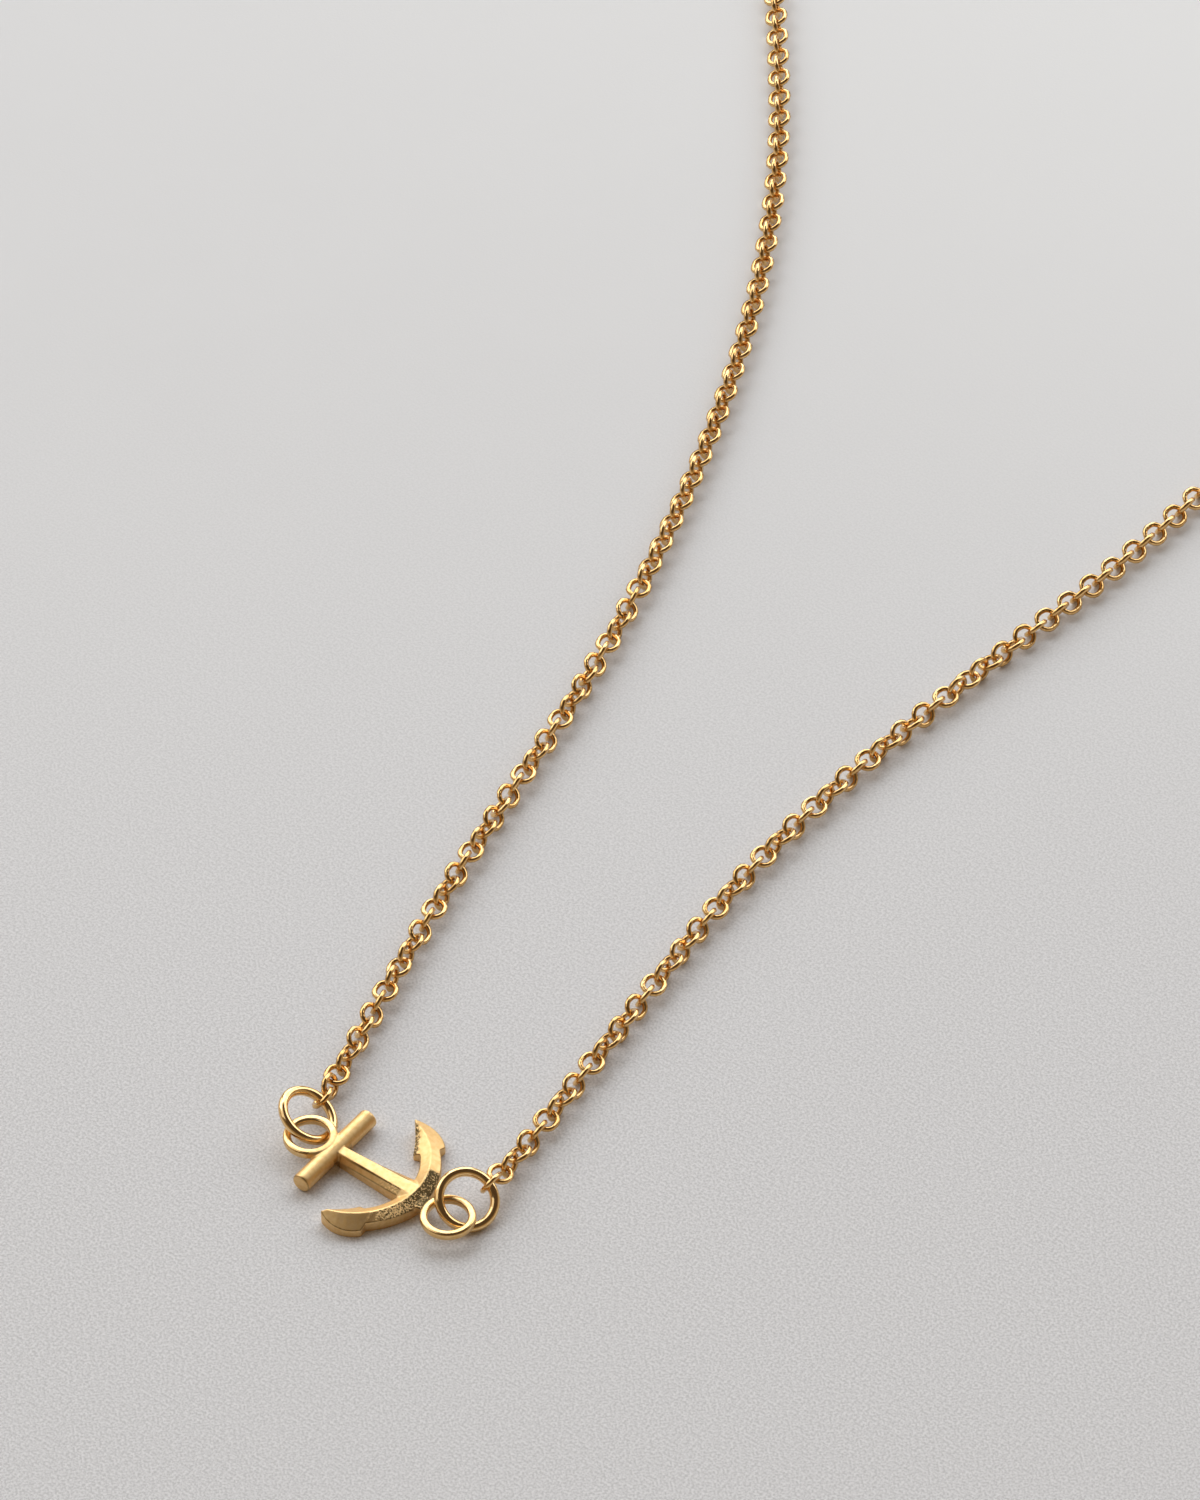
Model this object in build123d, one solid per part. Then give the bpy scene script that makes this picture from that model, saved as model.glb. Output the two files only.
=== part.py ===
from build123d import *
from math import cos, pi, radians, sin, sqrt, tan
import os

# A fine necklace laid out flat: a cast anchor hangs sideways between the two
# ends of a cable chain, each end on its own jump ring.
# Millimetres. +X runs along the anchor's shank from the stock to the crown,
# +Y runs over the surface from the anchor towards the clasp, +Z is up.
# The origin is on the anchor's flat back, under its shank.

# Stock, the round bar across the top of the shank
stock_length = 7.2
stock_diameter = 1.3
stock_end_round = 0.15
stock_x = -3.85

# Shank, a faceted bar that widens towards the crown
shank_height = 1.1
shank_top_width_at_stock = 0.62
shank_top_width_at_crown = 0.9
shank_base_width_at_stock = 1.0
shank_base_width_at_crown = 1.86
shank_shoulder_at_stock = 0.5
shank_shoulder_at_crown = 0.85

# Arms, a crescent with a ridge along it; widths and reaches count from the ridge
arc_x = -2.2
ridge_radius = 4.83
ridge_height = 1.15
arm_inner_width = 0.71
arm_outer_width = 0.63
arm_middle_width = 0.73
arm_inner_wall = 0.74
arm_outer_wall = 0.82
crown_point_reach = 0.92

# Flukes, the barbed arrowheads at the ends of the arms
fluke_inner_reach = 1.11
fluke_outer_reach = 1.03
fluke_tip_reach = 0.19
fluke_tip_angle = 78.5
fluke_inner_bulge = 0.59
fluke_outer_bulge = 0.94
fluke_section_margin = 0.5
inner_barb_angle = 47.5
outer_barb_angle = 49.0
barb_step_angle = 3.2

# Eyes cast on at both ends; they sit high, so that a ring's wire passes under.
# Their reaches count from the stock and from the ridge, and their holes take the
# ring's wire and some play round it
eye_over_ring = 0.12
eye_depth = 0.56
eye_edge_round = 0.18
stock_eye_play = 0.9
stock_eye_wall = 0.54
stock_eye_reach = 1.78
stock_eye_y = -0.26
crown_eye_play = 0.96
crown_eye_wall = 0.52
crown_eye_reach = 3.01
crown_eye_y = -0.58

# Neck, a ramp of metal from the crown's outer face up to its eye
neck_start_reach = 0.4
neck_width_at_crown = 1.5
neck_width_at_eye = 0.9
neck_depth = 0.62
neck_edge_round = 0.15
neck_below_ridge = 0.29
neck_below_eye_top = 0.2

# Jump rings, each leaning on its eye with its low side under the eye's wall.
# Each crosses its eye's hole at mid height, this far from the hole's middle
ring_outer_diameter = 4.3
ring_wire = 0.64
ring_tilt = 31.5
ring_clearance = 0.09
stock_ring_crossing = (-0.04, -0.24)
stock_ring_heading = 24.2
crown_ring_crossing = (-0.19, -0.02)
crown_ring_heading = -24.5

# Cable chain: a link's hole takes the ring's wire, the next link's, and play
link_inner_width = 1.07
link_wire = 0.34
link_play = 0.275
link_clearance = 0.1
links_each_end = 10
strand_diameter = 1.5
strand_gap = 0.2
bend_share = 0.45
lying_height = 0.78
settling_length = 5.0

# Where each strand leaves its ring: an angle round the ring from its level
# point, towards the low side, and the strand's heading over the surface
stock_strand_angle = 17.0
stock_strand_heading = 104.8
crown_strand_angle = -12.0
crown_strand_heading = 96.3
first_run = 6.6
last_run = 7.5

# How far each of the first links is rolled about the strand, then a steady step
stock_first_rolls = (-50.0, 68.0, 183.0, 255.0, 327.0, 402.0, 489.0, 576.0)
crown_first_rolls = (-63.0,)
roll_step = 72.0

# The chain's route from there to the clasp: a few chosen points (x, y)
stock_route = [
    (-14.15, 32.4),
    (-16.6, 44.8),
    (-20.0, 57.3),
    (-24.6, 70.5),
    (-30.3, 83.5),
    (-37.7, 96.4),
    (-46.5, 108.3),
    (-55.2, 119.2),
    (-62.3, 131.5),
    (-65.2, 146.0),
    (-64.2, 160.3),
    (-59.9, 173.2),
    (-51.9, 183.0),
]
crown_route = [
    (2.85, 33.5),
    (2.85, 46.0),
    (4.25, 60.5),
    (6.35, 76.0),
    (6.8, 91.5),
    (8.2, 107.0),
    (10.0, 122.5),
    (11.1, 137.5),
    (10.8, 151.5),
    (7.8, 164.7),
    (1.6, 176.0),
    (-6.8, 184.4),
]

# Clasp, a plain ring with a small eye, and the end ring that it holds
clasp_x = -30.0
clasp_y = 188.9
clasp_heading = 2.0
clasp_radius = 2.2
clasp_wire = 0.9
clasp_eye_radius = 0.7
clasp_eye_wire = 0.45
end_ring_radius = 1.45
end_ring_wire = 0.5
end_ring_roll = 45.0
end_ring_gap = 0.2
end_clearance = 0.14
end_link_angle = 20.0
end_link_drop = 8.0

os.makedirs("parts", exist_ok=True)


def save(solid, name):
    solid.label = name
    export_step(solid, "parts/" + name + ".step")


def polar(radius, angle):
    """A point of the crescent, about the arc's centre."""
    return (arc_x + radius * cos(radians(angle)), radius * sin(radians(angle)))


def mirrored(point):
    return (point[0], -point[1])


def along(start, heading, distance):
    """The point that lies a distance away on a heading over the surface."""
    turn = radians(heading)
    return (start[0] + distance * cos(turn), start[1] + distance * sin(turn))


def arms():
    """The crescent and its flukes: an outline cut through a ridged ring."""
    arm_inner_radius = ridge_radius - arm_inner_width
    inner_foot = polar(arm_inner_radius, inner_barb_angle - barb_step_angle)
    inner_barb = polar(ridge_radius - fluke_inner_reach, inner_barb_angle)
    tip = polar(ridge_radius + fluke_tip_reach, fluke_tip_angle)
    outer_barb = polar(ridge_radius + fluke_outer_reach, outer_barb_angle)
    outer_foot = polar(ridge_radius + arm_outer_width, outer_barb_angle - barb_step_angle)
    crown = polar(ridge_radius + crown_point_reach, 0)
    half = (inner_barb_angle - barb_step_angle) / 2
    inner_side = polar(arm_inner_radius, half)
    outer_side = polar(ridge_radius + arm_middle_width, half)
    bulge_inside = polar(ridge_radius - fluke_inner_bulge, (inner_barb_angle + fluke_tip_angle) / 2)
    bulge_outside = polar(ridge_radius + fluke_outer_bulge, (outer_barb_angle + fluke_tip_angle) / 2)
    inner_crown = polar(arm_inner_radius, 0)
    edges = []
    for place in (lambda point: point, mirrored):
        edges += [
            ThreePointArc(place(inner_crown), place(inner_side), place(inner_foot)),
            Line(place(inner_foot), place(inner_barb)),
            ThreePointArc(place(inner_barb), place(bulge_inside), place(tip)),
            ThreePointArc(place(tip), place(bulge_outside), place(outer_barb)),
            Line(place(outer_barb), place(outer_foot)),
            ThreePointArc(place(outer_foot), place(outer_side), place(crown)),
        ]
    outline = make_face(Curve() + edges)
    block = extrude(outline, amount=2 * ridge_height)

    inner_slope = (ridge_height - arm_inner_wall) / arm_inner_width
    outer_slope = (ridge_height - arm_outer_wall) / arm_outer_width
    inwards = fluke_inner_reach + fluke_section_margin
    outwards = fluke_outer_reach + fluke_section_margin
    section = Polyline(
        (ridge_radius - inwards, 0),
        (ridge_radius - inwards, ridge_height - inner_slope * inwards),
        (ridge_radius, ridge_height),
        (ridge_radius + outwards, ridge_height - outer_slope * outwards),
        (ridge_radius + outwards, 0),
        close=True,
    )
    ridged_ring = revolve(make_face(Plane.XZ * section), Axis.Z)
    return block & (Pos(arc_x, 0, 0) * ridged_ring)


def shank_section(x, base_width, shoulder, top_width):
    outline = Polyline(
        (-base_width / 2, 0),
        (-base_width / 2, shoulder),
        (-top_width / 2, shank_height),
        (top_width / 2, shank_height),
        (base_width / 2, shoulder),
        (base_width / 2, 0),
        close=True,
    )
    across = Plane(origin=(x, 0, 0), x_dir=(0, 1, 0), z_dir=(1, 0, 0))
    return across * make_face(outline)


def shank():
    near_ridge = (ridge_height - shank_height) / (ridge_height - arm_inner_wall)
    end_x = arc_x + ridge_radius - near_ridge * arm_inner_width
    sections = [
        shank_section(stock_x, shank_base_width_at_stock, shank_shoulder_at_stock,
                      shank_top_width_at_stock),
        shank_section(end_x, shank_base_width_at_crown, shank_shoulder_at_crown,
                      shank_top_width_at_crown),
    ]
    return loft(sections, ruled=True)


def stock():
    bar = Cylinder(stock_diameter / 2, stock_length)
    bar = fillet(bar.edges().filter_by(GeomType.CIRCLE), stock_end_round)
    return Pos(stock_x, 0, stock_diameter / 2) * Rot(90, 0, 0) * bar


stock_eye_x = stock_x - stock_eye_reach
crown_eye_x = arc_x + ridge_radius + crown_eye_reach
eye_middle = ring_wire + eye_over_ring + eye_depth / 2
stock_eye_inner_radius = ring_wire / 2 + stock_eye_play
crown_eye_inner_radius = ring_wire / 2 + crown_eye_play


def eye(x, y, inner_radius, wall):
    """A cast eye: a short tube with rounded edges, lying flat."""
    section = RectangleRounded(wall, eye_depth, eye_edge_round)
    section = Plane.XZ * Pos(inner_radius + wall / 2, eye_middle) * section
    return Pos(x, y, 0) * revolve(section, Axis.Z)


def neck_section(x, y, width, top):
    across = Plane(origin=(x, y, top - neck_depth / 2), x_dir=(0, 1, 0), z_dir=(1, 0, 0))
    return across * RectangleRounded(width, neck_depth, neck_edge_round)


def crown_neck():
    start = arc_x + ridge_radius + neck_start_reach
    end = crown_eye_x - crown_eye_inner_radius - crown_eye_wall / 2
    eye_top = eye_middle + eye_depth / 2
    sections = [
        neck_section(start, crown_eye_y / 2, neck_width_at_crown, ridge_height - neck_below_ridge),
        neck_section(end, crown_eye_y, neck_width_at_eye, eye_top - neck_below_eye_top),
    ]
    return loft(sections, ruled=True)


def anchor():
    return (arms() + shank() + stock() + crown_neck()
            + eye(stock_eye_x, stock_eye_y, stock_eye_inner_radius, stock_eye_wall)
            + eye(crown_eye_x, crown_eye_y, crown_eye_inner_radius, crown_eye_wall))


def ring_directions(tilt, heading):
    """A leaning ring's level direction, and its direction down to the low side."""
    level = Vector(-sin(radians(heading)), cos(radians(heading)), 0)
    down = Vector(cos(radians(heading)) * cos(radians(tilt)),
                  sin(radians(heading)) * cos(radians(tilt)),
                  -sin(radians(tilt)))
    return level, down


def torus_in(center, first, second, radius, wire):
    plane = Plane(origin=center, x_dir=first, z_dir=first.cross(second))
    return plane * Torus(radius, wire / 2)


ring_radius = (ring_outer_diameter - ring_wire) / 2


def leaning_ring(eye_x, eye_y, crossing, heading):
    """A jump ring that touches the surface and goes through its eye's hole."""
    level, down = ring_directions(ring_tilt, heading)
    drop = ring_radius * sin(radians(ring_tilt))
    down_share = 1 - (eye_middle - ring_wire / 2) / drop
    level_share = sqrt(1 - down_share ** 2)
    wire = down * (ring_radius * down_share) - level * (ring_radius * level_share)
    x = eye_x + crossing[0] - wire.X
    y = eye_y + crossing[1] - wire.Y
    return Vector(x, y, drop + ring_wire / 2), level, down


def strand_start(ring, angle):
    """The middle of the ring's wire, where the strand's first link holds it."""
    center, level, down = ring
    turn = radians(angle)
    return center + level * (ring_radius * cos(turn)) + down * (ring_radius * sin(turn))


link_inner_length = ring_wire + link_wire + link_play
link_outer_length = link_inner_length + 2 * link_wire
link_width = link_inner_width + 2 * link_wire
link_pitch = link_inner_length - link_clearance


def link():
    """One oval link of round wire, long side along X, lying in the XY plane."""
    middle_line = SlotOverall(link_outer_length - link_wire, link_width - link_wire)
    path = Wire(middle_line.edges())
    section = Plane(origin=path @ 0, z_dir=path % 0) * Circle(link_wire / 2)
    return sweep(section, path=path)


def strand_fall(start_height, distance):
    """Height and slope of a strand that comes down from its ring, then lies flat."""
    left = max(0.0, 1 - distance / settling_length)
    height = lying_height + (start_height - lying_height) * left ** 2
    slope = 2 * (lying_height - start_height) * left / settling_length
    return height, slope


def first_links(start, heading, rolls):
    """Planes of the first real links, each threading the one before it."""
    along_strand = Vector(cos(radians(heading)), sin(radians(heading)), 0)
    side = Vector(-along_strand.Y, along_strand.X, 0)
    first = link_inner_length / 2 - ring_wire / 2 - ring_clearance
    planes = []
    for index in range(links_each_end):
        distance = first + index * link_pitch
        center = Vector(start.X, start.Y, 0) + along_strand * distance
        height, slope = strand_fall(start.Z, distance)
        direction = (along_strand + Vector(0, 0, slope)).normalized()
        up = side.cross(direction) * -1
        if index < len(rolls):
            roll = rolls[index]
        else:
            roll = rolls[-1] + roll_step * (index - len(rolls) + 1)
        normal = side * -sin(radians(roll)) + up * cos(radians(roll))
        round_end = (link_width - link_wire) / 2 * sqrt(max(0.0, 1 - normal.Z ** 2))
        straight_side = (link_outer_length - link_width) / 2 * abs(direction.Z)
        height = max(height, straight_side + round_end + link_wire / 2)
        planes.append(Plane(origin=(center.X, center.Y, height), x_dir=direction, z_dir=normal))
    return planes


def strand_tube(points, name):
    """A tube along straight runs joined by tangent arcs, lying on the surface."""
    corners = [Vector(x, y, strand_diameter / 2) for x, y in points]
    runs = [corners[i + 1] - corners[i] for i in range(len(corners) - 1)]
    radii = []
    for before, after in zip(runs, runs[1:]):
        half_turn = radians(before.get_angle(after)) / 2
        radii.append(bend_share * min(before.length, after.length) / tan(half_turn))
    path = FilletPolyline(*corners, radius=radii)
    section = Plane(origin=path @ 0, z_dir=path % 0) * Circle(strand_diameter / 2)
    tube = sweep(section, path=path)
    expected = pi * strand_diameter ** 2 / 4 * path.length
    print(name, "length", round(path.length, 2), "volume share", round(tube.volume / expected, 5))
    print("  radii", [round(radius, 1) for radius in radii])
    return tube


def strand(name, ring, ring_angle, heading, rolls, route, end):
    """One side of the necklace: its real first links, then its chain as a tube."""
    start = strand_start(ring, ring_angle)
    planes = first_links(start, heading, rolls)
    for number, plane in enumerate(planes, 1):
        save(plane * link(), name + "_link_" + str(number).zfill(2))
    last = planes[-1].origin
    begin = along((last.X, last.Y), heading, link_outer_length / 2 + strand_gap)
    bend = along(begin, heading, first_run)
    tube = strand_tube([begin, bend] + route + end, name + "_strand")
    save(tube, name + "_strand")


end_ring_height = end_ring_radius * sin(radians(end_ring_roll)) + end_ring_wire / 2
clasp_hold_height = link_wire + end_clearance + clasp_eye_wire / 2


def clasp_axes():
    """The clasp lies on its last link's wire and leans up to the end ring."""
    turn = radians(clasp_heading)
    forward = Vector(cos(turn), sin(turn), 0)
    side = Vector(-sin(turn), cos(turn), 0)
    slope = (end_ring_height - clasp_hold_height) / (2 * (clasp_radius + clasp_eye_radius))
    raised = forward * sqrt(1 - slope ** 2) + Vector(0, 0, slope)
    hold = clasp_radius + 2 * clasp_eye_radius
    center = Vector(clasp_x, clasp_y, clasp_hold_height + hold * slope)
    return forward, side, raised, center


def clasp():
    _, side, raised, center = clasp_axes()
    eye_center = center - raised * (clasp_radius + clasp_eye_radius)
    main_ring = torus_in(center, raised, side, clasp_radius, clasp_wire)
    small_eye = torus_in(eye_center, raised, side, clasp_eye_radius, clasp_eye_wire)
    return main_ring + small_eye


def end_ring_place():
    forward, side, _, center = clasp_axes()
    roll = radians(end_ring_roll)
    across = side * cos(roll) + Vector(0, 0, sin(roll))
    reach = clasp_radius - clasp_wire / 2 - end_ring_wire / 2 - end_ring_gap + end_ring_radius
    middle = Vector(center.X, center.Y, end_ring_height) + forward * reach
    return middle, forward, across


def closing():
    """The clasp, the end ring and one real link on each side of them."""
    forward, side, raised, center = clasp_axes()
    save(clasp(), "clasp")
    middle, first, second = end_ring_place()
    save(torus_in(middle, first, second, end_ring_radius, end_ring_wire), "end_ring")

    grip = link_inner_length / 2 - clasp_eye_wire / 2 - end_clearance
    eye_end = center - raised * (clasp_radius + 2 * clasp_eye_radius)
    place = eye_end - forward * grip
    upright = Plane(origin=(place.X, place.Y, link_width / 2), x_dir=forward, z_dir=side)
    save(upright * link(), "stock_end_link")
    step = link_outer_length / 2 + strand_gap
    stock_end = [along((place.X, place.Y), clasp_heading, -reach) for reach in (step + last_run, step)]

    turn = radians(end_link_angle)
    held = middle + first * (end_ring_radius * cos(turn)) - second * (end_ring_radius * sin(turn))
    grip = link_inner_length / 2 - end_ring_wire / 2 - end_clearance
    drop = radians(end_link_drop)
    direction = forward * cos(drop) - Vector(0, 0, sin(drop))
    place = held + direction * grip
    roll = radians(end_ring_roll)
    up = side.cross(direction) * -1
    normal = side * cos(roll) + up * sin(roll)
    save(Plane(origin=place, x_dir=direction, z_dir=normal) * link(), "crown_end_link")
    crown_end = [along((place.X, place.Y), clasp_heading, reach) for reach in (step + last_run, step)]
    return stock_end, crown_end


save(anchor(), "anchor")
stock_ring = leaning_ring(stock_eye_x, stock_eye_y, stock_ring_crossing, stock_ring_heading)
crown_ring = leaning_ring(crown_eye_x, crown_eye_y, crown_ring_crossing, crown_ring_heading)
save(torus_in(*stock_ring, ring_radius, ring_wire), "stock_jump_ring")
save(torus_in(*crown_ring, ring_radius, ring_wire), "crown_jump_ring")
stock_end, crown_end = closing()
strand("stock", stock_ring, stock_strand_angle, stock_strand_heading, stock_first_rolls,
       stock_route, stock_end)
strand("crown", crown_ring, crown_strand_angle, crown_strand_heading, crown_first_rolls,
       crown_route, crown_end)
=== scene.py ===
from math import atan2, cos, degrees, pi, radians, sin, sqrt

import bmesh
import bpy
import numpy as np
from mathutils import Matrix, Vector


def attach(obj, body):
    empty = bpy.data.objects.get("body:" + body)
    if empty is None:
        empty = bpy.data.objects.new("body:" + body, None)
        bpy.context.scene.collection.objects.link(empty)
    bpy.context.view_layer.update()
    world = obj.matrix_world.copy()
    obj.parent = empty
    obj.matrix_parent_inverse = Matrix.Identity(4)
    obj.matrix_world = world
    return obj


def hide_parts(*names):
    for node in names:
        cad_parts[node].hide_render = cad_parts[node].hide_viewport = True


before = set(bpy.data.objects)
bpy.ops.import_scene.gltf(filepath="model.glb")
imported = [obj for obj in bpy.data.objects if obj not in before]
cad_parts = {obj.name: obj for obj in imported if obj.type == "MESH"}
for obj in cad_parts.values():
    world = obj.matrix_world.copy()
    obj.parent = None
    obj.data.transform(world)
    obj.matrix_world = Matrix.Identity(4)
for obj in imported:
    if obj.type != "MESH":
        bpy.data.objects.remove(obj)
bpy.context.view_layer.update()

# A gold necklace lying on pale paper: an anchor hung sideways between the two
# ends of a cable chain. Sizes below are in millimetres in the part's own frame,
# and a mesh gets them in metres.
MM = 0.001


# Camera: the photograph's own view, from 44.56 degrees above the paper
lens = 200.0
view_azimuth = 36.4
view_elevation = 44.56
view_distance = 558.805
view_centre = (-12.25, 39.90, 0.0)


def towards_camera():
    turn, rise = radians(view_azimuth), radians(view_elevation)
    return Vector((sin(turn) * cos(rise), -cos(turn) * cos(rise), sin(rise)))


def camera():
    data = bpy.data.cameras.new("camera")
    data.lens = lens
    data.sensor_width = 36.0
    data.clip_start = 0.01
    data.clip_end = 20.0
    made = bpy.data.objects.new("camera", data)
    bpy.context.scene.collection.objects.link(made)
    back = towards_camera()
    made.location = (Vector(view_centre) + back * view_distance) * MM
    made.rotation_euler = back.to_track_quat("Z", "Y").to_euler()
    bpy.context.scene.camera = made


# Shader maths

def add_node(tree, kind, settings, sockets, output=0):
    """A node with its settings and its sockets' values or links, as one of its outputs."""
    made = tree.nodes.new(kind)
    for name, value in settings.items():
        setattr(made, name, value)
    for name, value in sockets.items():
        if isinstance(value, Value):
            tree.links.new(value.socket, made.inputs[name])
        else:
            made.inputs[name].default_value = value
    if made.outputs:
        return Value(tree, made.outputs[output])


class Value:
    """A socket that Python's operators turn into Math nodes."""

    def __init__(self, tree, socket):
        self.tree = tree
        self.socket = socket

    def math(self, operation, other):
        return add_node(self.tree, "ShaderNodeMath", {"operation": operation}, {0: self, 1: other})

    def __add__(self, other):
        return self.math("ADD", other)

    __radd__ = __add__

    def __mul__(self, other):
        return self.math("MULTIPLY", other)

    __rmul__ = __mul__

    def __sub__(self, other):
        return self.math("SUBTRACT", other)

    def __rsub__(self, other):
        return self * -1 + other

    def clamped(self):
        return self.math("MINIMUM", 1.0).math("MAXIMUM", 0.0)

    def ramp(self, low, high):
        """0 below low, 1 above high and smooth between."""
        return add_node(self.tree, "ShaderNodeMapRange", {"interpolation_type": "SMOOTHSTEP"},
                        {"Value": self, "From Min": low, "From Max": high}, "Result")


class Nodes:
    """A shader's tree and the patterns that feed it."""

    def __init__(self, tree, shader, **settings):
        self.tree = tree
        self.shader = tree.nodes[shader]
        for socket, value in settings.items():
            self.shader.inputs[socket.replace("_", " ")].default_value = value

    def node(self, kind, settings, sockets, output=0):
        return add_node(self.tree, kind, settings, sockets, output)

    def feed(self, **sockets):
        for name, value in sockets.items():
            self.tree.links.new(value.socket, self.shader.inputs[name.replace("_", " ")])

    def place(self):
        """Object coordinates, in metres."""
        return self.node("ShaderNodeTexCoord", {}, {}, "Object")

    def axis(self, place, letter):
        return self.node("ShaderNodeSeparateXYZ", {}, {0: place}, letter)

    def noise(self, grain_mm, detail=2.0, roughness=0.5, stretch=None):
        """A cloudy pattern whose patches are about grain_mm across."""
        place = self.place()
        if stretch:
            place = self.node("ShaderNodeMapping", {}, {"Vector": place, "Scale": stretch},
                              "Vector")
        return self.node("ShaderNodeTexNoise", {"noise_dimensions": "3D"},
                         {"Vector": place, "Scale": 1.0 / (grain_mm * MM), "Detail": detail,
                          "Roughness": roughness}, "Fac")

    def mix(self, share, low, high):
        return self.node("ShaderNodeMix", {"data_type": "RGBA"}, {0: share, 6: low, 7: high}, 2)

    def bump(self, height, depth_mm, strength=1.0, under=None):
        sockets = {"Height": height, "Distance": depth_mm * MM, "Strength": strength}
        if under:
            sockets["Normal"] = under
        return self.node("ShaderNodeBump", {}, sockets, "Normal")

    def attribute(self, name):
        return self.node("ShaderNodeAttribute", {"attribute_name": name}, {}, "Fac")


def finish_called(name, **settings):
    """A new material and its nodes."""
    material = bpy.data.materials.new(name)
    material.use_nodes = True
    return material, Nodes(material.node_tree, "Principled BSDF", **settings)


def colour(red, green, blue):
    return (red, green, blue, 1.0)


# Golds as (bright, warm), which every finish mixes in a fine haze
ring_golds = colour(0.90, 0.635, 0.31), colour(0.80, 0.51, 0.20)
anchor_golds = colour(0.86, 0.60, 0.29), colour(0.75, 0.475, 0.18)
# The chain's golds, darker than the rings', are partly painted shade and dim reflections among its
# links
shaded_chain_golds = colour(0.87, 0.585, 0.27), colour(0.68, 0.41, 0.148)
# The brown of the painted shade and painted dark reflections in lines along the anchor's edges
painted_shade_brown = colour(0.16, 0.085, 0.03)
pit_brown = colour(0.10, 0.07, 0.03)


def polished_gold(name, roughness, golds):
    """Plated metal, polished by hand: faint waves, hairlines and a little haze."""
    material, finish = finish_called(name, Metallic=1.0)
    waves = finish.noise(grain_mm=1.1, detail=1.0)
    haze = finish.noise(grain_mm=0.35, detail=3.0)
    hairlines = finish.noise(grain_mm=0.05, detail=2.0, stretch=(0.12, 1.0, 1.0))
    warmth = (haze.ramp(0.35, 0.7) * 0.7 + finish.attribute("tone") * 0.5).clamped()
    dullness = haze.ramp(0.3, 0.75) * 0.08 + hairlines.ramp(0.4, 0.8) * 0.04
    swell = finish.bump(waves, depth_mm=0.012)
    finish.feed(Base_Color=finish.mix(warmth, *golds), Roughness=dullness + roughness,
                Normal=finish.bump(hairlines, depth_mm=0.0006, under=swell))
    return material


def stippled_gold(name, golds):
    """The anchor's metal: satin, with dark lines of painted shade and painted reflection beside
    its edges, and dark punched pits.
    """
    material, finish = finish_called(name, Metallic=1.0)
    waves = finish.noise(grain_mm=1.3, detail=1.0)
    haze = finish.noise(grain_mm=0.3, detail=3.0)
    grit = finish.noise(grain_mm=0.12, detail=3.0, roughness=0.65)
    punched = finish.attribute("punched")
    rubbed = finish.attribute("rubbed")
    # These dark lines are painted shade and painted dark reflections: along edges, inside the eyes
    # and where the shank meets the stock
    painted_dark_line = finish.attribute("painted_dark_line")
    polished = finish.attribute("polished")
    specks = (grit + rubbed * 0.12).ramp(0.56, 0.62)
    plain = finish.mix(haze.ramp(0.35, 0.7) * 0.6 + 0.1, *golds)
    lined_with_painted_shade = finish.mix((painted_dark_line * (haze * 0.4 + 0.75)).clamped(), plain, painted_shade_brown)
    pitted = finish.mix(specks, pit_brown, golds[0])
    swell = finish.bump(waves, depth_mm=0.012)
    fine = finish.bump(haze, depth_mm=0.003, under=swell)
    finish.feed(Base_Color=finish.mix(punched, lined_with_painted_shade, pitted),
                Roughness=haze.ramp(0.3, 0.75) * 0.06 + polished * -0.24 + 0.42,
                Normal=finish.bump(grit * punched, depth_mm=0.09, under=fine))
    return material


# Paper tones as (dark, light), and in metres where one kind gives way to the next
near_paper = colour(0.625, 0.625, 0.635), colour(0.89, 0.89, 0.905)
far_paper = colour(0.79, 0.795, 0.805), colour(0.81, 0.815, 0.825)
# The paper's lighter tone farther back is painted light, brighter towards the windows
painted_light_paper = colour(0.90, 0.91, 0.915)
toothed_until = (-0.005, 0.095)
painted_light_from = (0.05, 0.17)


def paper():
    """Pale paper with a fine tooth near the anchor, smoother farther away, and lighter farther
    back by painted light.
    """
    material, finish = finish_called("paper", Roughness=0.9)
    tooth = finish.noise(grain_mm=0.17, detail=3.0, roughness=0.65)
    cloud = finish.noise(grain_mm=9.0, detail=3.0)
    turn = radians(view_azimuth)
    sideways = finish.axis(finish.place(), "X")
    along = finish.axis(finish.place(), "Y")
    away = along * cos(turn) - sideways * sin(turn)
    near_tone = finish.mix(tooth.ramp(0.32, 0.68), *near_paper)
    far_tone = finish.mix(cloud, *far_paper)
    tone = finish.mix(away.ramp(*toothed_until), near_tone, far_tone)
    finish.feed(Base_Color=finish.mix(along.ramp(*painted_light_from), tone, painted_light_paper),
                Normal=finish.bump(tooth, depth_mm=0.02, strength=0.5))
    return material


# Meshes

def show(name, mesh, finish):
    """A piece of the object: its mesh, shaded smooth, with its finish."""
    made = bpy.data.objects.new(name, mesh)
    bpy.context.scene.collection.objects.link(made)
    mesh.materials.clear()
    mesh.materials.append(finish)
    mesh.shade_smooth()
    return made


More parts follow.
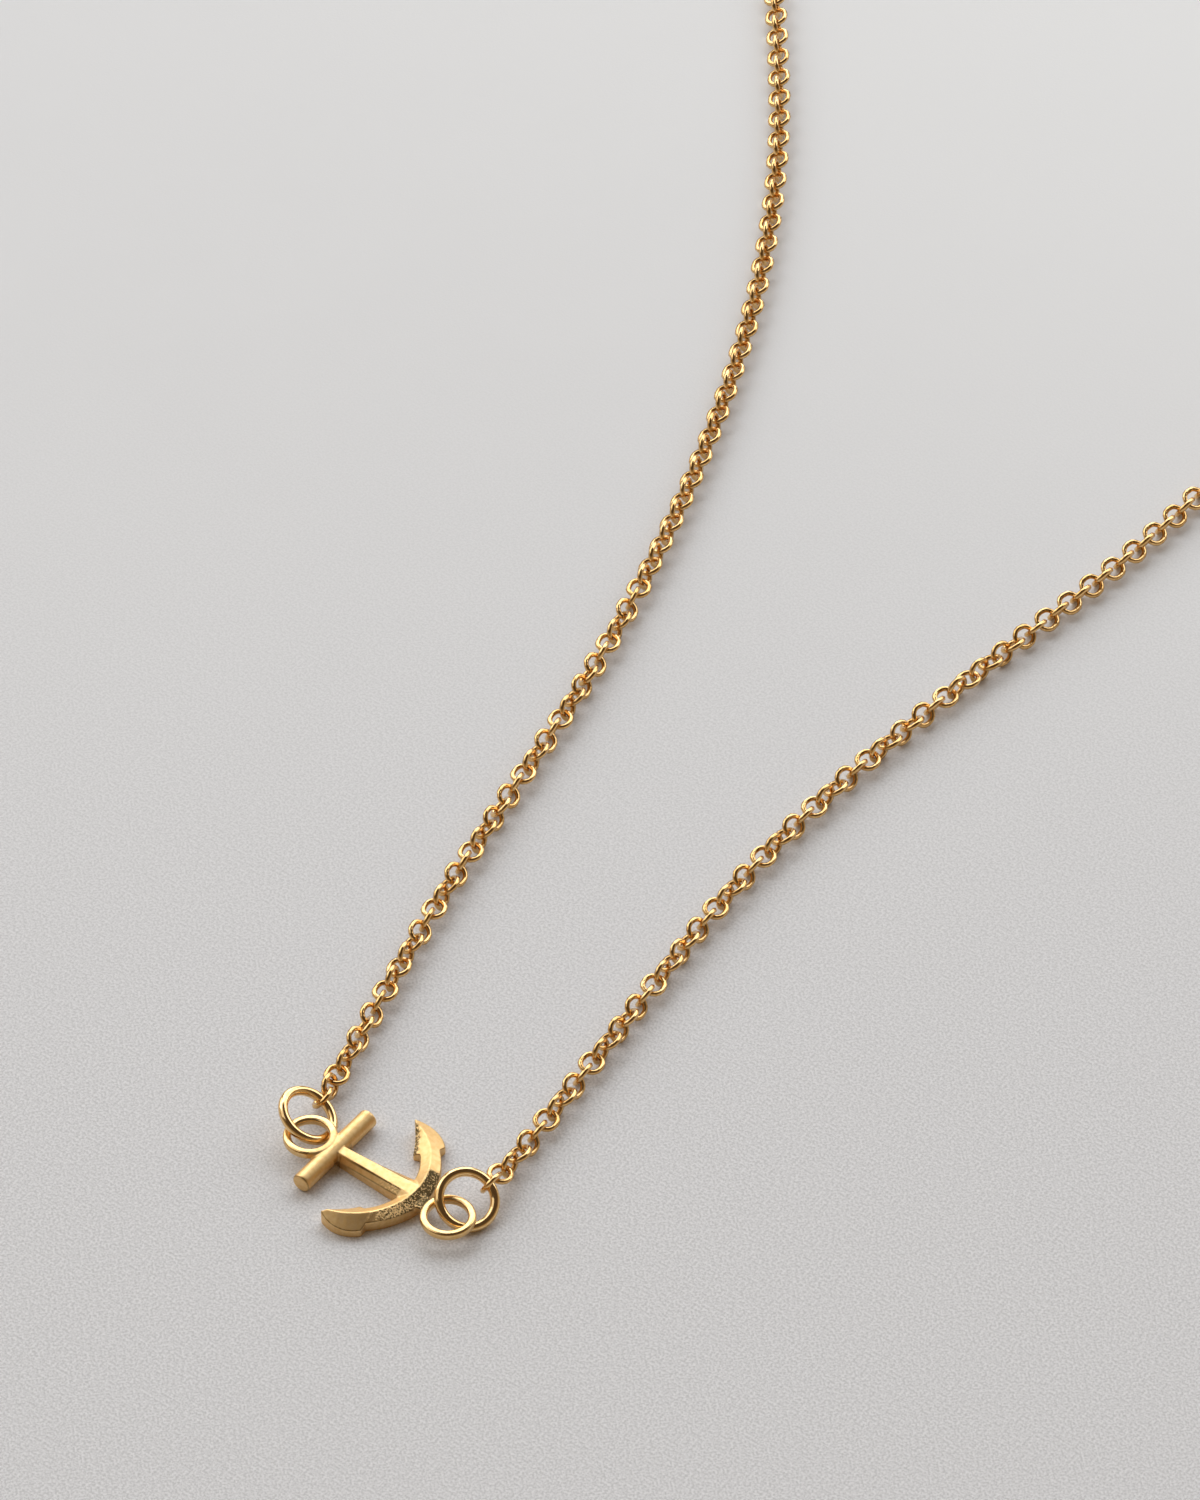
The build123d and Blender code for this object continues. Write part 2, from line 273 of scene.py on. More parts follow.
def ring_mesh(name, centre, first, second, radius, wire, around=96, across=24):
    """A closed ring of round wire."""
    centre = Vector(centre)
    first, second = Vector(first).normalized(), Vector(second).normalized()
    axis = first.cross(second)
    points, faces = [], []
    for place in range(around):
        turn = 2 * pi * place / around
        out = first * cos(turn) + second * sin(turn)
        for step in range(across):
            lift = 2 * pi * step / across
            reach = out * cos(lift) + axis * sin(lift)
            points.append((centre + out * radius + reach * (wire / 2)) * MM)
    for place in range(around):
        this, after = place * across, (place + 1) % around * across
        for step in range(across):
            beside = (step + 1) % across
            faces.append((this + step, after + step, after + beside, this + beside))
    mesh = bpy.data.meshes.new(name)
    mesh.from_pydata(points, [], faces)
    outward(mesh)
    return mesh


def outward(mesh):
    """Turns every face to look out of the solid."""
    shape = bmesh.new()
    shape.from_mesh(mesh)
    bmesh.ops.recalc_face_normals(shape, faces=shape.faces)
    shape.to_mesh(mesh)
    shape.free()


# Sizes that repeat the part's own source, in millimetres
stock_x = -3.85
arc_x = -2.2
ridge_radius = 4.83
ridge_height = 1.15
inner_slope = (ridge_height - 0.74) / 0.71
outer_slope = (ridge_height - 0.82) / 0.63
rim_radii = ((0.0, 22.0, 46.0), (5.75, 5.56, 5.46))
fluke_inner_radii = ((47.5, 55.0, 63.0, 71.0, 78.5), (3.72, 3.96, 4.24, 4.60, 5.02))
eye_depth = 0.56
ring_wire = 0.64
ring_tilt = 31.5
ring_radius = (4.3 - ring_wire) / 2
eye_middle = ring_wire + 0.12 + eye_depth / 2
stock_eye = (stock_x - 1.78, -0.26)
crown_eye = (arc_x + ridge_radius + 3.01, -0.58)
stock_ring_crossing = (-0.04, -0.24)
stock_ring_heading = 24.2
crown_ring_crossing = (-0.19, -0.02)
crown_ring_heading = -24.5

link_inner_width = 1.07
link_wire = 0.34
link_play = 0.275
link_clearance = 0.1
ring_clearance = 0.09
link_inner_length = ring_wire + link_wire + link_play
link_outer_length = link_inner_length + 2 * link_wire
link_width = link_inner_width + 2 * link_wire
link_pitch = link_inner_length - link_clearance
links_each_end = 10
lying_height = 0.78
settling_length = 5.0
strand_gap = 0.2
first_run = 6.6
last_run = 7.5

stock_strand_angle = 17.0
stock_strand_heading = 104.8
stock_first_rolls = (-50.0, 68.0, 183.0, 255.0, 327.0, 402.0, 489.0, 576.0)
stock_route = [(-14.15, 32.4), (-16.6, 44.8), (-20.0, 57.3), (-24.6, 70.5), (-30.3, 83.5),
               (-37.7, 96.4), (-46.5, 108.3), (-55.2, 119.2), (-62.3, 131.5), (-65.2, 146.0),
               (-64.2, 160.3), (-59.9, 173.2), (-51.9, 183.0)]
crown_strand_angle = -12.0
crown_strand_heading = 96.3
crown_first_rolls = (-63.0,)
crown_route = [(2.85, 33.5), (2.85, 46.0), (4.25, 60.5), (6.35, 76.0), (6.8, 91.5), (8.2, 107.0),
               (10.0, 122.5), (11.1, 137.5), (10.8, 151.5), (7.8, 164.7), (1.6, 176.0),
               (-6.8, 184.4)]
roll_step = 72.0

# Across the corners of a six-sided wire that has the round wire's own section
six_sided_wire = 1.1 * link_wire

# Past the first links: how far each link rolls on from the one before it, up to
# the link with this number
last_link = 999
stock_turns = ((10, 72.0), (13, 84.0), (24, 72.0), (27, 84.0), (36, 72.0), (39, 84.0), (47, 72.0),
               (last_link, 90.0))
crown_turns = ((14, 72.0), (17, 84.0), (21, 72.0), (24, 84.0), (43, 72.0), (46, 84.0), (48, 72.0),
               (57, 82.0), (last_link, 90.0))

clasp_place = (-30.0, 188.9)
clasp_heading = 2.0
clasp_radius = 2.2
clasp_wire = 0.9
clasp_eye_radius = 0.7
clasp_eye_wire = 0.45
end_ring_radius = 1.45
end_ring_wire = 0.5
end_ring_roll = 45.0
end_ring_gap = 0.2
end_clearance = 0.14
end_link_angle = 20.0
end_link_drop = 8.0


# Jump rings

def leaning_ring(eye, crossing, heading):
    """(centre, level direction, downhill direction) of a ring that leans on its eye."""
    turn, tilt = radians(heading), radians(ring_tilt)
    level = Vector((-sin(turn), cos(turn), 0.0))
    down = Vector((cos(turn) * cos(tilt), sin(turn) * cos(tilt), -sin(tilt)))
    drop = ring_radius * sin(tilt)
    down_share = 1 - (eye_middle - ring_wire / 2) / drop
    level_share = sqrt(1 - down_share ** 2)
    wire = down * (ring_radius * down_share) - level * (ring_radius * level_share)
    centre = Vector((eye[0] + crossing[0] - wire.x, eye[1] + crossing[1] - wire.y,
                     drop + ring_wire / 2))
    return centre, level, down


def jump_rings(finish):
    for name, ring in (("stock_jump_ring", stock_ring), ("crown_jump_ring", crown_ring)):
        mesh = ring_mesh(name + "_wire", *ring, ring_radius, ring_wire)
        made = show(name + "_wire", mesh, finish)
        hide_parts(name)
        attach(made, "root")


stock_ring = leaning_ring(stock_eye, stock_ring_crossing, stock_ring_heading)
crown_ring = leaning_ring(crown_eye, crown_ring_crossing, crown_ring_heading)


# Chain

link_corners = 16
wire_sides = 6
# Corners this near a link's middle, in metres, stay there when its ends move apart
middle_reach = 0.00001
# Which output of a Random Value node is its plain number
random_number = 1
# A link faces along the route between the points this far before and after it
facing_span = 0.3
route_order = 3
route_steps = 24


def link_tree():
    """Geometry Nodes: a link of bent wire on each point, turned as the point says."""
    tree = bpy.data.node_groups.new("links_on_points", "GeometryNodeTree")
    interface = tree.interface
    interface.new_socket("Geometry", in_out="INPUT", socket_type="NodeSocketGeometry")
    interface.new_socket("Link length", in_out="INPUT", socket_type="NodeSocketFloat")
    interface.new_socket("Link width", in_out="INPUT", socket_type="NodeSocketFloat")
    interface.new_socket("Wire", in_out="INPUT", socket_type="NodeSocketFloat")
    interface.new_socket("Seed", in_out="INPUT", socket_type="NodeSocketInt")
    interface.new_socket("Gold", in_out="INPUT", socket_type="NodeSocketMaterial")
    interface.new_socket("Geometry", in_out="OUTPUT", socket_type="NodeSocketGeometry")

    def node(kind, settings, sockets, output=0):
        return add_node(tree, kind, settings, sockets, output)

    def given(name):
        return node("NodeGroupInput", {}, {}, name)

    def written(name):
        return node("GeometryNodeInputNamedAttribute", {"data_type": "FLOAT_VECTOR"},
                    {"Name": name})

    across = given("Link width") - given("Wire")
    straight = given("Link length") - given("Link width")
    loop = node("GeometryNodeCurvePrimitiveCircle", {},
                {"Resolution": link_corners, "Radius": across * 0.5}, "Curve")
    position = node("GeometryNodeInputPosition", {}, {})
    lengthways = node("ShaderNodeSeparateXYZ", {}, {0: position}, "X")
    towards_end = lengthways.math("SNAP", middle_reach).math("SIGN", 0.0)
    shift = node("ShaderNodeCombineXYZ", {}, {0: towards_end * (straight * 0.5)})
    loop = node("GeometryNodeSetPosition", {}, {"Geometry": loop, "Offset": shift})
    section = node("GeometryNodeCurvePrimitiveCircle", {},
                   {"Resolution": wire_sides, "Radius": given("Wire") * 0.5}, "Curve")
    link = node("GeometryNodeCurveToMesh", {}, {"Curve": loop, "Profile Curve": section})
    link = node("GeometryNodeSetShadeSmooth", {}, {"Geometry": link})

    turned = node("FunctionNodeAxesToRotation", {"primary_axis": "X", "secondary_axis": "Z"},
                  {"Primary Axis": written("along"), "Secondary Axis": written("face")})
    links = node("GeometryNodeInstanceOnPoints", {},
                 {"Points": given("Geometry"), "Instance": link, "Rotation": turned})
    tone = node("FunctionNodeRandomValue", {"data_type": "FLOAT"},
                {"Min": 0.0, "Max": 1.0, "Seed": given("Seed")}, random_number)
    links = node("GeometryNodeStoreNamedAttribute", {"data_type": "FLOAT", "domain": "INSTANCE"},
                 {"Geometry": links, "Name": "tone", "Value": tone})
    links = node("GeometryNodeRealizeInstances", {}, {"Geometry": links})
    links = node("GeometryNodeSetMaterial", {}, {"Geometry": links, "Material": given("Gold")})
    node("NodeGroupOutput", {}, {"Geometry": links})
    return tree


def strand_fall(start_height, distance):
    """(height, slope) of the chain as it comes down from its ring to the paper."""
    left = max(0.0, 1 - distance / settling_length)
    height = lying_height + (start_height - lying_height) * left ** 2
    slope = 2 * (lying_height - start_height) * left / settling_length
    return height, slope


def link_on(centre, heading, roll, height, slope=0.0):
    """(centre, along, face) of a link that rests no lower than the paper."""
    turn = radians(heading)
    forward = Vector((cos(turn), sin(turn), 0.0))
    side = Vector((-sin(turn), cos(turn), 0.0))
    along = (forward + Vector((0, 0, slope))).normalized()
    up = along.cross(side)
    face = side * -sin(radians(roll)) + up * cos(radians(roll))
    round_end = (link_width - link_wire) / 2 * sqrt(max(0.0, 1 - face.z ** 2))
    straight_side = (link_outer_length - link_width) / 2 * abs(along.z)
    height = max(height, straight_side + round_end + link_wire / 2)
    return Vector((centre[0], centre[1], height)), along, face


def first_links(start, heading, rolls):
    """The links next to a ring, and the last one's roll."""
    turn = radians(heading)
    first = link_inner_length / 2 - ring_wire / 2 - ring_clearance
    made = []
    for index in range(links_each_end):
        distance = first + index * link_pitch
        height, slope = strand_fall(start.z, distance)
        if index < len(rolls):
            roll = rolls[index]
        else:
            roll = rolls[-1] + roll_step * (index - len(rolls) + 1)
        centre = (start.x + distance * cos(turn), start.y + distance * sin(turn))
        made.append(link_on(centre, heading, roll, height, slope))
    return made, roll


def path_points(name, corners):
    """The points of a smooth curve with these corners as its control points."""
    curve = bpy.data.curves.new(name, "CURVE")
    curve.dimensions = "3D"
    curve.resolution_u = route_steps
    spline = curve.splines.new("NURBS")
    spline.points.add(len(corners) - 1)
    for point, (x, y) in zip(spline.points, corners):
        point.co = (x * MM, y * MM, 0.0, 1.0)
    spline.order_u = route_order
    spline.use_endpoint_u = True
    guide = bpy.data.objects.new(name, curve)
    bpy.context.scene.collection.objects.link(guide)
    bpy.context.view_layer.update()
    mesh = bpy.data.meshes.new_from_object(guide)
    points = np.array([tuple(vertex.co)[:2] for vertex in mesh.vertices]) / MM
    bpy.data.objects.remove(guide)
    bpy.data.curves.remove(curve)
    bpy.data.meshes.remove(mesh)
    return points


def strand_links(name, first, heading, roll, route, turns):
    """Links from the last of the first ones to the clasp's, a pitch apart."""
    corners = [first[-1][0][:2]]
    reach = link_outer_length / 2 + strand_gap + first_run
    turn = radians(heading)
    corners.append((corners[0][0] + reach * cos(turn), corners[0][1] + reach * sin(turn)))
    points = path_points(name + "_path", corners + route)
    steps = np.hypot(*np.diff(points, axis=0).T)
    lengths = np.concatenate([[0.0], np.cumsum(steps)])
    count = round(lengths[-1] / link_pitch)
    pitch = lengths[-1] / count
    made = []
    for index in range(1, count):
        roll += next(step for number, step in turns if links_each_end + index <= number)
        before, here, after = [
            [np.interp(index * pitch + offset, lengths, points[:, axis]) for axis in (0, 1)]
            for offset in (-facing_span, 0.0, facing_span)]
        facing = degrees(atan2(after[1] - before[1], after[0] - before[0]))
        made.append(link_on(here, facing, roll, lying_height))
    return made


def closing_links():
    """The clasp's own place, the end ring's, and the two links that hold them."""
    turn = radians(clasp_heading)
    forward = Vector((cos(turn), sin(turn), 0.0))
    side = Vector((-sin(turn), cos(turn), 0.0))
    roll = radians(end_ring_roll)
    ring_height = end_ring_radius * sin(roll) + end_ring_wire / 2
    hold_height = link_wire + end_clearance + clasp_eye_wire / 2
    slope = (ring_height - hold_height) / (2 * (clasp_radius + clasp_eye_radius))
    raised = forward * sqrt(1 - slope ** 2) + Vector((0, 0, slope))
    hold = clasp_radius + 2 * clasp_eye_radius
    centre = Vector((*clasp_place, hold_height + hold * slope))
    eye_centre = centre - raised * (clasp_radius + clasp_eye_radius)
    reach = clasp_radius - clasp_wire / 2 - end_ring_wire / 2 - end_ring_gap + end_ring_radius
    ring_centre = Vector((centre.x, centre.y, ring_height)) + forward * reach
    across = side * cos(roll) + Vector((0, 0, sin(roll)))

    eye_end = centre - raised * hold
    place = eye_end - forward * (link_inner_length / 2 - clasp_eye_wire / 2 - end_clearance)
    stock_link = (Vector((place.x, place.y, link_width / 2)), forward, side)

    bend = radians(end_link_angle)
    held = (ring_centre + forward * (end_ring_radius * cos(bend))
            - across * (end_ring_radius * sin(bend)))
    drop = radians(end_link_drop)
    direction = forward * cos(drop) - Vector((0, 0, sin(drop)))
    place = held + direction * (link_inner_length / 2 - end_ring_wire / 2 - end_clearance)
    up = direction.cross(side)
    crown_link = (place, direction, side * cos(roll) + up * sin(roll))
    clasp_wires = [(centre, raised, side, clasp_radius, clasp_wire),
                   (eye_centre, raised, side, clasp_eye_radius, clasp_eye_wire)]
    end_ring = (ring_centre, forward, across, end_ring_radius, end_ring_wire)
    return clasp_wires, end_ring, stock_link, crown_link, forward


def chain_mesh(name, places, tree, finish, seed):
    """One link on each place, by Geometry Nodes, as a plain mesh."""
    points = bpy.data.meshes.new(name + "_points")
    points.from_pydata([place[0] * MM for place in places], [], [])
    for key, part in (("along", 1), ("face", 2)):
        layer = points.attributes.new(key, "FLOAT_VECTOR", "POINT")
        layer.data.foreach_set("vector", [number for place in places for number in place[part]])
    guide = bpy.data.objects.new(name + "_points", points)
    bpy.context.scene.collection.objects.link(guide)
    modifier = guide.modifiers.new("links", "NODES")
    modifier.node_group = tree
    sizes = {"Link length": link_outer_length * MM, "Link width": link_width * MM,
             "Wire": six_sided_wire * MM, "Seed": seed, "Gold": finish}
    for socket in tree.interface.items_tree:
        if socket.in_out == "INPUT" and socket.name in sizes:
            modifier[socket.identifier] = sizes[socket.name]
    bpy.context.view_layer.update()
    evaluated = guide.evaluated_get(bpy.context.evaluated_depsgraph_get())
    mesh = bpy.data.meshes.new_from_object(evaluated)
    mesh.name = name
    guide.modifiers.remove(modifier)
    bpy.data.objects.remove(guide)
    bpy.data.meshes.remove(points)
    outward(mesh)
    return mesh


def chains(finish):
    tree = link_tree()
    clasp_wires, end_ring, stock_link, crown_link, forward = closing_links()
    step = link_outer_length / 2 + strand_gap
    sides = (
        ("stock", stock_ring, stock_strand_angle, stock_strand_heading, stock_first_rolls,
         stock_route, stock_link, -1, stock_turns, 3),
        ("crown", crown_ring, crown_strand_angle, crown_strand_heading, crown_first_rolls,
         crown_route, crown_link, 1, crown_turns, 8),
    )
    for name, ring, angle, heading, rolls, route, end_link, away, turns, seed in sides:
        centre, level, down = ring
        turn = radians(angle)
        start = centre + level * (ring_radius * cos(turn)) + down * (ring_radius * sin(turn))
        first, last_roll = first_links(start, heading, rolls)
        end = end_link[0]
        bend = end + forward * (away * (step + last_run))
        places = strand_links(name, first, heading, last_roll, route + [bend[:2], end[:2]], turns)
        mesh = chain_mesh(name + "_chain", first + places + [end_link], tree, finish, seed)
        made = show(name + "_chain", mesh, finish)
        nodes = [name + "_link_" + str(number).zfill(2) for number in range(1, links_each_end + 1)]
        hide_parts(name + "_strand", name + "_end_link", *nodes)
        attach(made, "root")
    return clasp_wires, end_ring


# Anchor

welding_reach = 0.001
casting_grain = 0.05
edge_softening = 6


def anchor(finish):
    """The casting: the part's own form with its edges softened and its faces punched."""
    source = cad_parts["anchor"]
    mesh = source.data.copy()
    mesh.name = "anchor_casting"
    shape = bmesh.new()
    shape.from_mesh(mesh)
    bmesh.ops.remove_doubles(shape, verts=shape.verts, dist=welding_reach * MM)
    shape.to_mesh(mesh)
    shape.free()
    made = show("anchor_casting", mesh, finish)
    apply_modifier(made, "REMESH", mode="VOXEL", voxel_size=casting_grain * MM,
                   use_smooth_shade=True)
    apply_modifier(made, "SHRINKWRAP", target=source, wrap_method="NEAREST_SURFACEPOINT")
    apply_modifier(made, "SMOOTH", factor=0.5, iterations=edge_softening)
    mark(made.data)
    made.data.shade_smooth()
    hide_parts("anchor")
    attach(made, "root")


def apply_modifier(made, kind, **settings):
    modifier = made.modifiers.new(kind.lower(), kind)
    for name, value in settings.items():
        setattr(modifier, name, value)
    bpy.context.view_layer.update()
    evaluated = made.evaluated_get(bpy.context.evaluated_depsgraph_get())
    mesh = bpy.data.meshes.new_from_object(evaluated)
    old = made.data
    made.modifiers.remove(modifier)
    made.data = mesh
    bpy.data.meshes.remove(old)


def above(value, low, high):
    """0 up to low, 1 from high and smooth between, for numbers and arrays."""
    share = np.clip((value - low) / (high - low), 0.0, 1.0)
    return share * share * (3 - 2 * share)


def below(value, low, high):
    """1 up to low, 0 from high and smooth between."""
    return 1.0 - above(value, low, high)


def near(value, target, full, none):
    """1 within full of the target and 0 farther than none."""
    return below(np.abs(value - target), full, none)


# Marks on the anchor. Each pair holds the two places between which a mark fades, and a
# value of three is a middle and how far from it the mark is full and gone. Angles, in
# degrees, go about the arms' centre; slopes tell which way a face looks, as a share of 1

# The crown's punched patch, and its part on the neck
facet_reach = (0.05, 0.09)
patch_start = 0.06
patch_rim = (0.0, 0.05)
patch_top = (23.4, 24.6)
patch_foot = (-44.0, -30.0)
patch_edge = 0.01
patch_rubbed = (0.0, 26.0)
neck_start = (3.1, 3.3)
neck_end = (3.86, 3.98)
neck_across = (-0.4, 0.7, 0.85)
neck_slope = (0.35, 0.6)
neck_height = (1.12, 1.2)
# The size of each wave of a ragged edge, and its turns by radius and by angle
ragged_waves = ((2.5, 9.0, 0.9), (1.5, 0.0, 0.53), (1.0, 0.0, 2.3))

# The far fluke's punched strip
strip_foot = (45.0, 48.0)
strip_tip = (70.0, 77.0)
strip_edge = (-0.38, -0.12)
strip_ragged = 0.02
strip_rubbed = 0.5

# The shank's near side, towards -Y
side_across = (0.3, 0.45)
side_slope = (-0.6, 0.2, 0.35)
side_start = (-0.6, 1.6)
side_end = (3.9, 4.1)
side_height = (0.45, 0.6)
side_punching = 0.42

# The eyes, polished beyond the stock and beyond the arms
eye_reach = (1.7, 1.9)
past_stock = (0.75, 0.95)
past_arms = (3.8, 4.1)

# Dark lines of painted shade and painted reflection on the arms' slopes, away from the crown
arms_inside = (3.5, 3.7)
arms_outside = (5.9, 6.1)
arms_start = (-2.4, -2.2)
arms_height = (0.45, 0.55)
arms_angle = (14.0, 18.0)
arms_slope = (0.3, 0.5), (0.72, 0.83)
# Painted shade lines along the shank's top edge and its shoulder, which widen and rise towards the
# crown
shank_start = (-3.1, -1.2)
shank_end = (3.95, 4.05)
shank_across = (1.0, 1.1)
line_width = (0.02, 0.07)
top_edge_start = 0.35
top_edge_growth = 0.14
top_edge_height = (0.9, 0.95)
shoulder_start = 0.5
shoulder_rise = 0.35
shoulder_across = (0.4, 0.5)
# Painted shade inside the eyes
eye_inside = (1.15, 1.35)
eye_slope = (0.1, 0.3), (0.65, 0.8)
# Painted dark lines at the stock's near end, and painted shade where the shank meets the stock.
# Back is towards -X
stock_end_across = (3.3, 3.38)
stock_end_back = (3.1, 3.2)
stock_end_slope = (0.25, 0.45), (-0.92, -0.8)
stock_foot_from = (-3.3, -3.2)
stock_foot_back = (2.98, 3.08)
stock_foot_across = (0.9, 1.0)
stock_foot_height = (0.9, 1.0)
# How dark the weaker painted shade lines are
shoulder_dark = 0.6
eye_dark = 0.7
stock_end_dark = 0.6
stock_foot_dark = 0.5


class Places:
    """Where the anchor's points are, in millimetres, and which way they face."""

    def __init__(self, mesh):
        count = len(mesh.vertices)
        points = np.zeros(count * 3)
        mesh.vertices.foreach_get("co", points)
        normals = np.zeros(count * 3)
        mesh.vertices.foreach_get("normal", normals)
        self.x, self.y, self.z = points.reshape(-1, 3).T / MM
        _, self.facing_side, self.facing_up = normals.reshape(-1, 3).T
        self.radius = np.hypot(self.x - arc_x, self.y)
        self.angle = np.degrees(np.arctan2(self.y, self.x - arc_x))

    def reach(self, eye):
        return np.hypot(self.x - eye[0], self.y - eye[1])


def crown_patch(at):
    """The punched patch on the crown's outer facet and on its neck."""
    facet = ridge_height - outer_slope * (at.radius - ridge_radius)
    rim = np.interp(np.abs(at.angle), *rim_radii)
    crown = (near(at.z, facet, *facet_reach)
             * above(at.radius, ridge_radius, ridge_radius + patch_start)
             * above(rim - at.radius, *patch_rim) * below(at.angle, *patch_top)
             * above(at.angle + ragged(at), *patch_foot))
    neck = (above(at.x, *neck_start) * below(at.x, *neck_end) * near(at.y, *neck_across)
            * above(at.facing_up, *neck_slope) * below(at.z, *neck_height))
    return np.maximum(crown, neck)


def ragged(at):
    """How far a patch's edge strays, in degrees."""
    return sum(size * np.sin(at.radius * by_radius + at.angle * by_angle)
               for size, by_radius, by_angle in ragged_waves)


def fluke_strip(at):
    """The punched strip inside the far fluke."""
    facet = ridge_height - inner_slope * (ridge_radius - at.radius)
    inner_edge = np.interp(at.angle, *fluke_inner_radii)
    return (near(at.z, facet, *facet_reach) * above(at.angle, *strip_foot)
            * below(at.angle, *strip_tip)
            * above(inner_edge - at.radius + ragged(at) * strip_ragged, *strip_edge))


def shank_side(at):
    """Light punching on the shank's near side, denser towards the crown."""
    return (above(-at.y, *side_across) * near(at.facing_side, *side_slope)
            * above(at.x, *side_start) * below(at.radius, *side_end)
            * above(at.z, *side_height) * side_punching)


def polished_eyes(at):
    """The eyes, which are brighter than the rest of the casting."""
    stock_side = below(at.reach(stock_eye), *eye_reach) * above(stock_x - at.x, *past_stock)
    crown_side = below(at.reach(crown_eye), *eye_reach) * above(at.x, *past_arms)
    return np.maximum(stock_side, crown_side)


def dark_lines(at, polished):
    """Painted shade and painted dark reflections as lines: along edges, under the shank's top,
    inside the eyes and beside the stock.
    """
    across = np.abs(at.y)
    arms = (above(at.radius, *arms_inside) * below(at.radius, *arms_outside)
            * above(at.x, *arms_start) * above(at.z, *arms_height)
            * above(np.abs(at.angle), *arms_angle)
            * above(at.facing_up, *arms_slope[0]) * below(at.facing_up, *arms_slope[1]))
    share = (at.x - stock_x) / (arc_x + ridge_radius - stock_x)
    on_shank = (above(at.x, *shank_start) * below(at.radius, *shank_end)
                * below(across, *shank_across))
    top_edge = (near(across, top_edge_start + top_edge_growth * share, *line_width)
                * above(at.z, *top_edge_height))
    shoulder = (near(at.z, shoulder_start + shoulder_rise * share, *line_width)
                * above(across, *shoulder_across))
    inside = below(np.minimum(at.reach(stock_eye), at.reach(crown_eye)), *eye_inside)
    eyes = (polished * inside * above(at.facing_up, *eye_slope[0])
            * below(at.facing_up, *eye_slope[1]))
    stock_end = (above(-at.y, *stock_end_across) * above(-at.x, *stock_end_back)
                 * above(-at.facing_side, *stock_end_slope[0])
                 * above(at.facing_side, *stock_end_slope[1]))
    stock_foot = (above(at.x, *stock_foot_from) * above(-at.x, *stock_foot_back)
                  * below(across, *stock_foot_across) * below(at.z, *stock_foot_height))
    return np.max([arms, on_shank * top_edge, on_shank * shoulder * shoulder_dark,
                   eyes * eye_dark, stock_end * stock_end_dark, stock_foot * stock_foot_dark],
                  axis=0)


def mark(mesh):
    """Writes on each point how punched, rubbed bright, darkened by painted shade lines and
    polished it is.
    """
    at = Places(mesh)
    patch = crown_patch(at)
    polished = polished_eyes(at)
    marks = {
        "punched": np.max([patch, fluke_strip(at), shank_side(at)], axis=0),
        "rubbed": np.where(patch > patch_edge, above(-at.angle, *patch_rubbed), strip_rubbed),
        "painted_dark_line": dark_lines(at, polished),
        "polished": polished,
    }
    for name, values in marks.items():
        layer = mesh.attributes.new(name, "FLOAT", "POINT")
        layer.data.foreach_set("value", values)


# Clasp

def clasp(finish, clasp_wires, end_ring):
    main, eye = [ring_mesh("clasp_wires", *wire, around=64, across=18) for wire in clasp_wires]
    shape = bmesh.new()
    shape.from_mesh(main)
    shape.from_mesh(eye)
    shape.to_mesh(main)
    shape.free()
    bpy.data.meshes.remove(eye)
    for name, mesh, node in (("clasp_wires", main, "clasp"),
                             ("end_ring_wire", ring_mesh("end_ring_wire", *end_ring), "end_ring")):
        made = show(name, mesh, finish)
        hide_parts(node)
        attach(made, "root")


# Paper and light

def floor():
    half = 3000.0 * MM
    corners = [(-half, -half, 0), (half, -half, 0), (half, half, 0), (-half, half, 0)]
    mesh = bpy.data.meshes.new("paper")
    mesh.from_pydata(corners, [], [(0, 1, 2, 3)])
    made = bpy.data.objects.new("paper", mesh)
    bpy.context.scene.collection.objects.link(made)
    mesh.materials.append(paper())


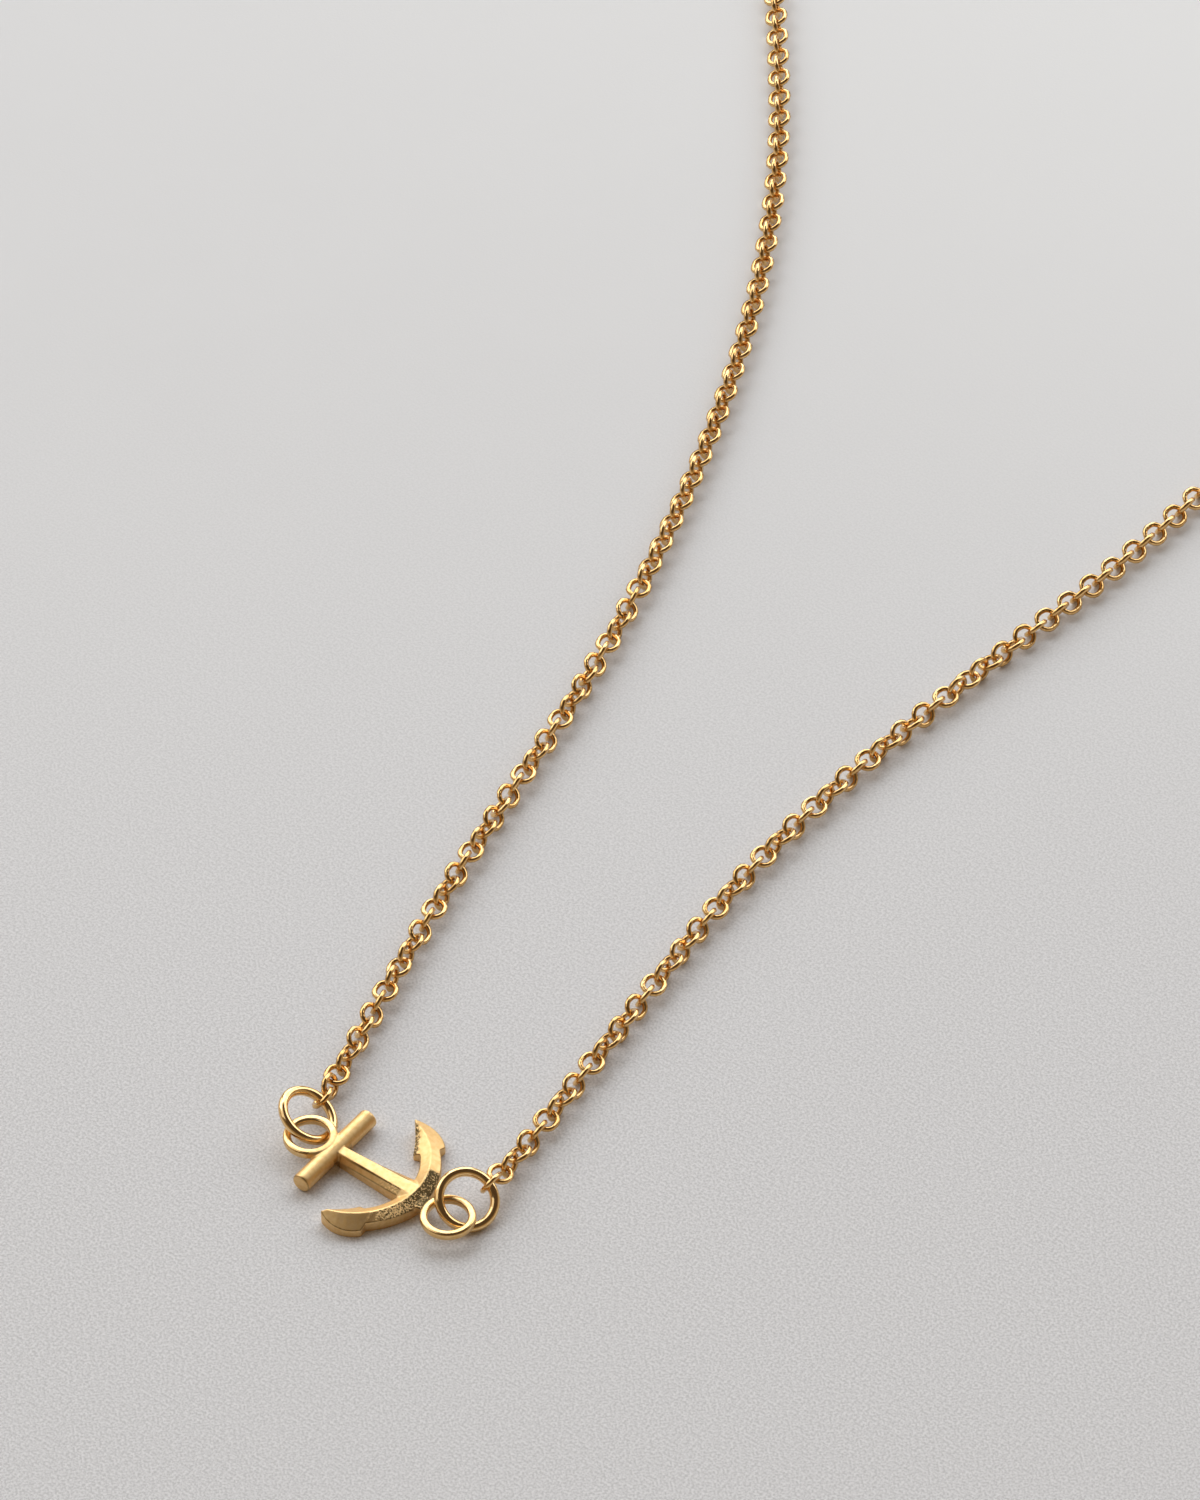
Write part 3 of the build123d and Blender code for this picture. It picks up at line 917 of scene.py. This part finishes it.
daylight = (0.96, 1.0, 1.045)
card_light = (1.0, 0.99, 0.95)
light_distance = 1.6
wall_colour = colour(0.40, 0.305, 0.19)
ceiling_colour = colour(0.085, 0.06, 0.04)
wall_top = (0.25, 0.6)

# Sheets of light: azimuth from behind the necklace as the camera sees it, elevation,
# width and height in metres, watts, colour. Their distance is in metres too
sheets = {
    "window": (0.0, 34.0, 1.15, 1.5, 15.2, daylight),
    "left_window": (50.0, 34.0, 0.95, 1.3, 6.7, daylight),
    "right_window": (-50.0, 32.0, 0.95, 1.1, 6.9, daylight),
    "side_card": (73.0, 48.0, 1.5, 1.5, 6.5, card_light),
}


def sheet_of_light(name, azimuth, elevation, width, height, power, tint):
    """A soft panel that faces the necklace."""
    data = bpy.data.lights.new(name, "AREA")
    data.shape = "RECTANGLE"
    data.size = width
    data.size_y = height
    data.energy = power
    data.color = tint
    made = bpy.data.objects.new(name, data)
    bpy.context.scene.collection.objects.link(made)
    turn = radians(view_azimuth) + radians(azimuth)
    rise = radians(elevation)
    out = Vector((-sin(turn) * cos(rise), cos(turn) * cos(rise), sin(rise)))
    made.location = Vector(view_centre) * MM + out * light_distance
    made.rotation_euler = out.to_track_quat("Z", "Y").to_euler()


def room():
    """The room around: warm walls up to a dark ceiling."""
    world = bpy.data.worlds.new("room")
    bpy.context.scene.world = world
    world.use_nodes = True
    walls = Nodes(world.node_tree, "Background", Strength=1.0)
    place = walls.node("ShaderNodeTexCoord", {}, {}, "Generated")
    height = walls.axis(place, "Z")
    walls.feed(Color=walls.mix(height.ramp(*wall_top), wall_colour, ceiling_colour))


def light():
    room()
    for name, sheet in sheets.items():
        sheet_of_light(name, *sheet)
    bpy.context.scene.view_settings.view_transform = "Standard"


camera()
floor()
light()
anchor(stippled_gold("anchor_gold", anchor_golds))
jump_rings(polished_gold("ring_gold", 0.09, ring_golds))
chain_gold = polished_gold("chain_gold", 0.1, shaded_chain_golds)
clasp(polished_gold("clasp_gold", 0.1, ring_golds), *chains(chain_gold))
